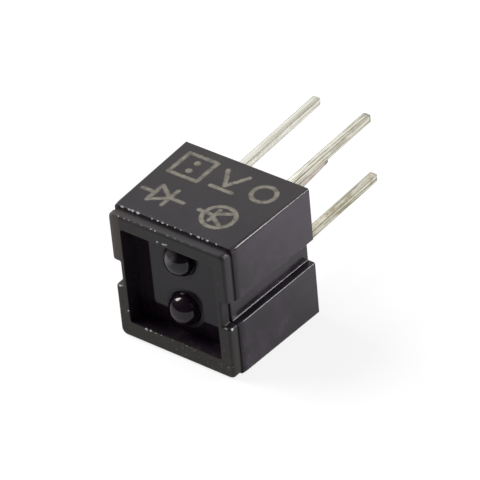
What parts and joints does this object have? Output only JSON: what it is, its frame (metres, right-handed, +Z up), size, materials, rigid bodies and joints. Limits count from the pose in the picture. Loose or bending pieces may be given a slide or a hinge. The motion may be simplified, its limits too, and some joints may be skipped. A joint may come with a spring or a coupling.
{
  "type": "reflective optical sensor",
  "caption": "Square black moulded sensor with a recessed front, two domed optical windows, side locating grooves and square tinned leads.",
  "frame": {"origin": "centre of the lower side face of the housing, the face that the sensor lies on", "axes": "+Z up from that face, +Y along the leads, away from the windows, and +X to the right as the windows are seen"},
  "size_m": [0.007, 0.0138, 0.007],
  "materials": {
    "housing": "moulded, slightly glossy",
    "emitter_resin": "polished, dark violet tint",
    "detector_resin": "polished, black tint",
    "tinned_lead": "tinned, drawn along its length",
    "chip": "polished",
    "bond_wire": "polished gold"
  },
  "bodies": {
    "root": {"housing": "housing", "emitter_body": "emitter_resin", "detector_body": "detector_resin", "emitter_anode_lead": "tinned_lead", "emitter_cathode_lead": "tinned_lead", "detector_collector_lead": "tinned_lead", "detector_emitter_lead": "tinned_lead", "emitter_chip": "chip", "detector_chip": "chip", "emitter_bond_wire": "bond_wire", "detector_bond_wire": "bond_wire"}
  },
  "joints": []
}
